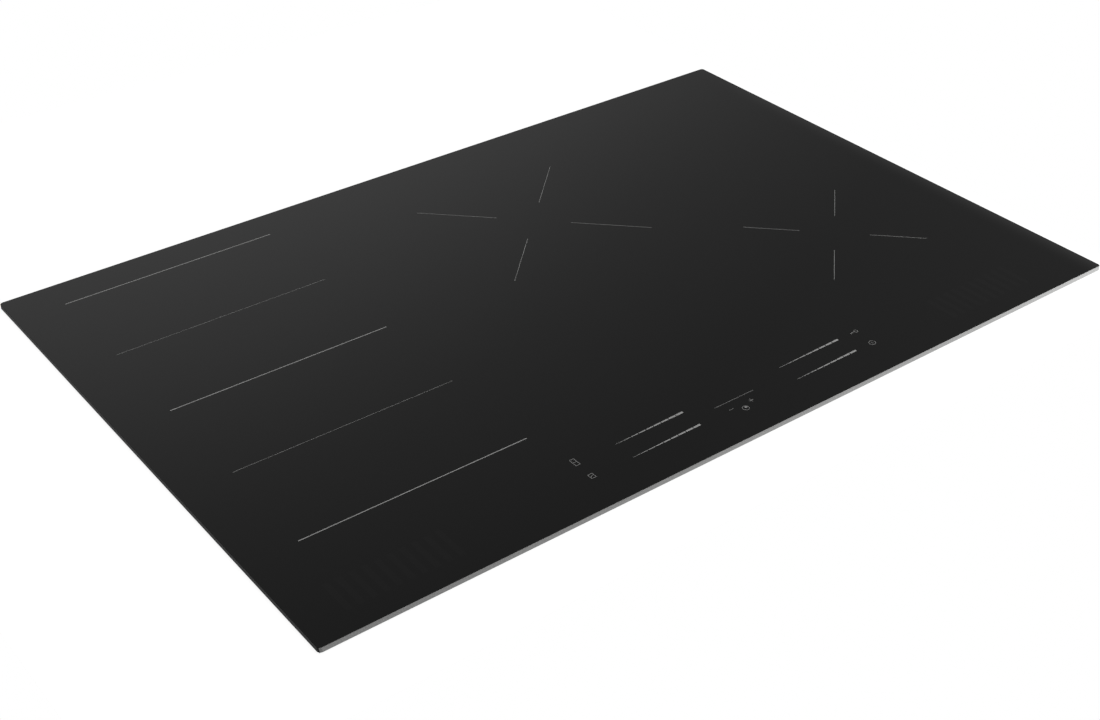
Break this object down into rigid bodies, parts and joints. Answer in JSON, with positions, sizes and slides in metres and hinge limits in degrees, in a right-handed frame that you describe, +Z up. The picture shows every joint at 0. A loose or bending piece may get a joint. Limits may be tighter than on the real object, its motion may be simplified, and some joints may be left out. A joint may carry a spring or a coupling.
{
  "type": "induction cooktop",
  "caption": "Drop-in induction cooktop: black glass plate with printed zones and touch sliders over a stepped steel casing with sprung coils, fans, clamps and terminal flap.",
  "frame": {"origin": "centre of the glass plate's outline, on the worktop plane under the seal", "axes": "+X to the cook's right, +Y to the back, +Z up"},
  "size_m": [0.77, 0.51, 0.055],
  "materials": {
    "black_glass": "polished black glass-ceramic",
    "foam_seal": "closed-cell foam tape",
    "silicone_bead": "grey silicone",
    "galvanised_steel": "galvanised sheet",
    "zinc_steel": "zinc-plated fasteners",
    "spring_steel": "drawn spring wire",
    "aluminium": "mill-finish sheet and extrusion",
    "copper_litz": "enamelled stranded wire",
    "carrier_plastic": "glass-filled heat-proof plastic",
    "ferrite": "sintered ferrite",
    "mica": "pressed mica sheet",
    "sensor_silicone": "pale silicone cap",
    "fan_plastic": "moulded black plastic",
    "circuit_board": "green solder mask",
    "component_black": "moulded epoxy",
    "component_blue": "cased film capacitor",
    "light_guide_plastic": "milky acrylic",
    "terminal_plastic": "pale grey moulded plastic",
    "gland_rubber": "moulded rubber",
    "lead_insulation": "heat-proof wire insulation"
  },
  "bodies": {
    "casing": {"glass_plate": "black_glass", "seal_tape": "foam_seal", "glass_bead": "silicone_bead", "glass_frame": "galvanised_steel", "base_tray": "galvanised_steel", "plate_standoffs": "zinc_steel", "coil_plate": "aluminium", "casing_screws": "zinc_steel", "coil_guide_screws": "zinc_steel", "fan_motors": "copper_litz", "board_standoffs": "zinc_steel", "power_boards": "circuit_board", "filter_board": "circuit_board", "power_transistors": "component_black", "heat_sinks": "aluminium", "film_capacitors": "component_blue", "filter_choke": "copper_litz", "touch_holder": "fan_plastic", "touch_board": "circuit_board", "touch_light_guide": "light_guide_plastic", "terminal_box": "terminal_plastic", "terminal_block": "terminal_plastic", "terminal_screws": "zinc_steel", "terminal_cover_pin": "zinc_steel", "cable_gland": "gland_rubber", "mains_leads": "lead_insulation", "clamp_screws": "zinc_steel", "fan_housing_left": "fan_plastic", "fan_housing_right": "fan_plastic", "coil_springs_left_rear": "spring_steel", "coil_springs_left_front": "spring_steel", "coil_springs_middle_rear": "spring_steel", "coil_springs_right_front": "spring_steel"},
    "terminal_cover": {"terminal_cover": "terminal_plastic"},
    "fan_rotor_left": {"fan_impeller_left": "fan_plastic"},
    "fan_rotor_right": {"fan_impeller_right": "fan_plastic"},
    "worktop_clamp_left_front": {"worktop_clamp_left_front": "zinc_steel"},
    "worktop_clamp_left_rear": {"worktop_clamp_left_rear": "zinc_steel"},
    "worktop_clamp_right_front": {"worktop_clamp_right_front": "zinc_steel"},
    "worktop_clamp_right_rear": {"worktop_clamp_right_rear": "zinc_steel"},
    "coil_left_rear": {"coil_carrier_left_rear": "carrier_plastic", "coil_winding_left_rear": "copper_litz", "coil_ferrites_left_rear": "ferrite", "coil_mica_left_rear": "mica", "coil_sensor_left_rear": "sensor_silicone"},
    "coil_left_front": {"coil_carrier_left_front": "carrier_plastic", "coil_winding_left_front": "copper_litz", "coil_ferrites_left_front": "ferrite", "coil_mica_left_front": "mica", "coil_sensor_left_front": "sensor_silicone"},
    "coil_middle_rear": {"coil_carrier_middle_rear": "carrier_plastic", "coil_winding_middle_rear": "copper_litz", "coil_ferrites_middle_rear": "ferrite", "coil_mica_middle_rear": "mica", "coil_sensor_middle_rear": "sensor_silicone"},
    "coil_right_front": {"coil_carrier_right_front": "carrier_plastic", "coil_winding_right_front": "copper_litz", "coil_ferrites_right_front": "ferrite", "coil_mica_right_front": "mica", "coil_sensor_right_front": "sensor_silicone"}
  },
  "joints": [
    {"name": "fan_left_spin", "type": "hinge", "parent": "casing", "child": "fan_rotor_left", "pos_m": [-0.2702, 0.12, -0.01705], "axis": [0, 0, 1], "continuous": true},
    {"name": "fan_right_spin", "type": "hinge", "parent": "casing", "child": "fan_rotor_right", "pos_m": [0.2702, 0.12, -0.01705], "axis": [0, 0, 1], "continuous": true},
    {"name": "clamp_left_front_swing", "type": "hinge", "parent": "casing", "child": "worktop_clamp_left_front", "pos_m": [-0.357, -0.15, -0.0285], "axis": [0, 0, 1], "range_deg": [0, 90]},
    {"name": "clamp_left_rear_swing", "type": "hinge", "parent": "casing", "child": "worktop_clamp_left_rear", "pos_m": [-0.357, 0.15, -0.0285], "axis": [0, 0, -1], "range_deg": [0, 90]},
    {"name": "clamp_right_front_swing", "type": "hinge", "parent": "casing", "child": "worktop_clamp_right_front", "pos_m": [0.357, -0.15, -0.0285], "axis": [0, 0, -1], "range_deg": [0, 90]},
    {"name": "clamp_right_rear_swing", "type": "hinge", "parent": "casing", "child": "worktop_clamp_right_rear", "pos_m": [0.357, 0.15, -0.0285], "axis": [0, 0, 1], "range_deg": [0, 90]},
    {"name": "terminal_cover_hinge", "type": "hinge", "parent": "casing", "child": "terminal_cover", "pos_m": [0.085, 0.2292, -0.0445], "axis": [1, 0, 0], "range_deg": [0, 95]},
    {"name": "coil_left_rear_float", "type": "slide", "parent": "casing", "child": "coil_left_rear", "axis": [0, 0, 1], "range_m": [-0.0025, 0], "stiffness_N_per_m": 3000, "springref_m": 0.006, "deforming": ["coil_springs_left_rear"]},
    {"name": "coil_left_front_float", "type": "slide", "parent": "casing", "child": "coil_left_front", "axis": [0, 0, 1], "range_m": [-0.0025, 0], "stiffness_N_per_m": 3000, "springref_m": 0.006, "deforming": ["coil_springs_left_front"]},
    {"name": "coil_middle_rear_float", "type": "slide", "parent": "casing", "child": "coil_middle_rear", "axis": [0, 0, 1], "range_m": [-0.0025, 0], "stiffness_N_per_m": 3000, "springref_m": 0.006, "deforming": ["coil_springs_middle_rear"]},
    {"name": "coil_right_front_float", "type": "slide", "parent": "casing", "child": "coil_right_front", "axis": [0, 0, 1], "range_m": [-0.0025, 0], "stiffness_N_per_m": 3000, "springref_m": 0.006, "deforming": ["coil_springs_right_front"]}
  ]
}
